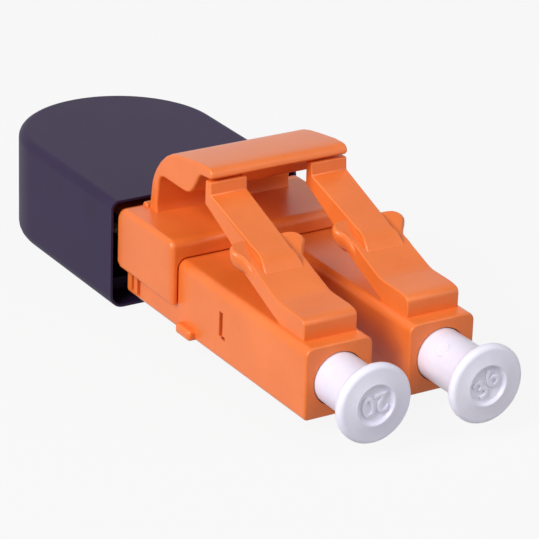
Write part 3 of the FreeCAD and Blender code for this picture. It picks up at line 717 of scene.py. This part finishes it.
def add_stem_ring():
    rows = []
    for step in range(RING_STEPS):
        way = FULL_TURN * step / RING_STEPS
        row = []
        for bead_step in range(BEAD_STEPS):
            bead = FULL_TURN * bead_step / BEAD_STEPS
            out = RING_RADIUS + RING_BEAD * math.cos(bead)
            turn = RING_TURN + out * math.cos(way) / STEM_RADIUS
            high = STEM_RADIUS + RING_BEAD * math.sin(bead)
            row.append((HALF_PITCH + high * math.cos(turn), RING_Y + out * math.sin(way),
                        AXIS_Z + high * math.sin(turn)))
        rows.append(row)
    add_piece("cap_ring_right", tube_through(rows, True), "cap_plastic", "cap_right")


add_stem_ring()

# Springs: a coil between each flange and the rear body
SPRING_RADIUS, SPRING_WIRE = 1.2, 0.13
SPRING_FRONT, SPRING_BACK = 5.35, 8.01
SPRING_TURNS, TURN_STEPS, WIRE_SIDES = 4, 32, 8


def add_spring(side):
    count = SPRING_TURNS * TURN_STEPS
    rows = []
    for step in range(count + 1):
        turn = FULL_TURN * step / TURN_STEPS
        middle = SPRING_FRONT + (SPRING_BACK - SPRING_FRONT) * step / count
        row = []
        for place in range(WIRE_SIDES):
            around = FULL_TURN * place / WIRE_SIDES
            out = SPRING_RADIUS + SPRING_WIRE * math.cos(around)
            row.append((SIDES[side] * HALF_PITCH + out * math.cos(turn),
                        middle + SPRING_WIRE * math.sin(around), AXIS_Z + out * math.sin(turn)))
        rows.append(row)
    coil = tube_through(rows, False)
    piece = add_piece("spring_coil_" + side, coil, "spring_steel", None, ["spring_" + side])
    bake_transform(piece)


for side in SIDES:
    add_spring(side)

# The other solids inside the mouldings stay as they are and get their finish
INNER_SLOTS = {"ferrule_": "ceramic", "ferrule_flange_": "flange_metal", "guide_tube_": "clear_tube",
               "rear_body_": "orange_plastic"}


def dress_node(name, slot_name):
    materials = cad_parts[name].data.materials
    materials.clear()
    materials.append(FINISH[slot_name])


dress_node("fibre_loop", "fibre_buffer")
for side in SIDES:
    for name, slot_name in INNER_SLOTS.items():
        dress_node(name + side, slot_name)

# Stage: floor, lamps and camera
FLOOR_WHITE = 0.9
FLOOR_SIZE, FLOOR_DROP = 2.0, 0.00002
AMBIENT = 0.08


def add_floor():
    shape = bmesh.new()
    bmesh.ops.create_grid(shape, x_segments=1, y_segments=1, size=FLOOR_SIZE)
    mesh = bpy.data.meshes.new("floor")
    shape.to_mesh(mesh)
    shape.free()
    floor = bpy.data.objects.new("floor", mesh)
    floor.location.z = -FLOOR_DROP
    scene.collection.objects.link(floor)
    pale = Finish("pale_floor")
    pale.set(Base_Color=solid(170, 170, 170), Roughness=0.9)
    glow = pale.node("ShaderNodeEmission", {}, {"Color": (1, 1, 1, 1), "Strength": 1.0})
    base = Shade(pale, pale.shader.outputs[0])
    both = pale.node("ShaderNodeMixShader", {}, {0: FLOOR_WHITE * pale.seen(), 1: base, 2: glow})
    pale.tree.links.new(both.socket, pale.output.inputs["Surface"])
    mesh.materials.append(pale.material)


def add_lamp(name, place, aim, width, power):
    """A soft square lamp; place and aim in millimetres of the frame."""
    light = bpy.data.lights.new(name, "AREA")
    light.shape = "SQUARE"
    light.size = width * MM
    light.energy = power
    lamp = bpy.data.objects.new(name, light)
    lamp.location = Vector(place) * MM
    lamp.rotation_mode = "QUATERNION"
    lamp.rotation_quaternion = (Vector(aim) - Vector(place)).to_track_quat("-Z", "Y")
    scene.collection.objects.link(lamp)


add_floor()
MIDDLE = (0, -12, 5)
add_lamp("left_softbox", (-220, -67, 159), MIDDLE, 160, 0.82)
add_lamp("front_softbox", (40, -190, 200), MIDDLE, 180, 0.2)
add_lamp("right_softbox", (190, -190, 85), MIDDLE, 160, 0.09)

world = bpy.data.worlds.new("studio")
world.use_nodes = True
sky = Nodes(world.node_tree)
background = sky.tree.nodes["Background"]
sky.feed(background.inputs["Color"], (1, 1, 1, 1))
sky.feed(background.inputs["Strength"], AMBIENT + (1 - AMBIENT) * sky.seen())
scene.world = world

# Camera at the photograph's place
CAMERA_AZIMUTH = math.radians(-32.228)
CAMERA_ELEVATION = math.radians(23.401)
CAMERA_ROLL = math.radians(1.941)
CAMERA_DISTANCE = 151.4
CAMERA_TARGET = (-5.441, 3.230, 7.215)
CAMERA_LENS, SENSOR_WIDTH = 201.29, 36
CLIP_NEAR, CLIP_FAR = 0.005, 10


def add_camera():
    turn, tilt = CAMERA_AZIMUTH, CAMERA_ELEVATION
    back = Vector((math.sin(turn) * math.cos(tilt), -math.cos(turn) * math.cos(tilt), math.sin(tilt)))
    level = Vector((math.cos(turn), math.sin(turn), 0))
    above = back.cross(level)
    right = math.cos(CAMERA_ROLL) * level + math.sin(CAMERA_ROLL) * above
    up = back.cross(right)
    data = bpy.data.cameras.new("camera")
    data.sensor_width = SENSOR_WIDTH
    data.lens = CAMERA_LENS
    data.clip_start = CLIP_NEAR
    data.clip_end = CLIP_FAR
    camera = bpy.data.objects.new("camera", data)
    place = Matrix((right, up, back)).transposed().to_4x4()
    place.translation = at(*CAMERA_TARGET) + back * CAMERA_DISTANCE * MM
    camera.matrix_world = place
    scene.collection.objects.link(camera)
    scene.camera = camera


add_camera()
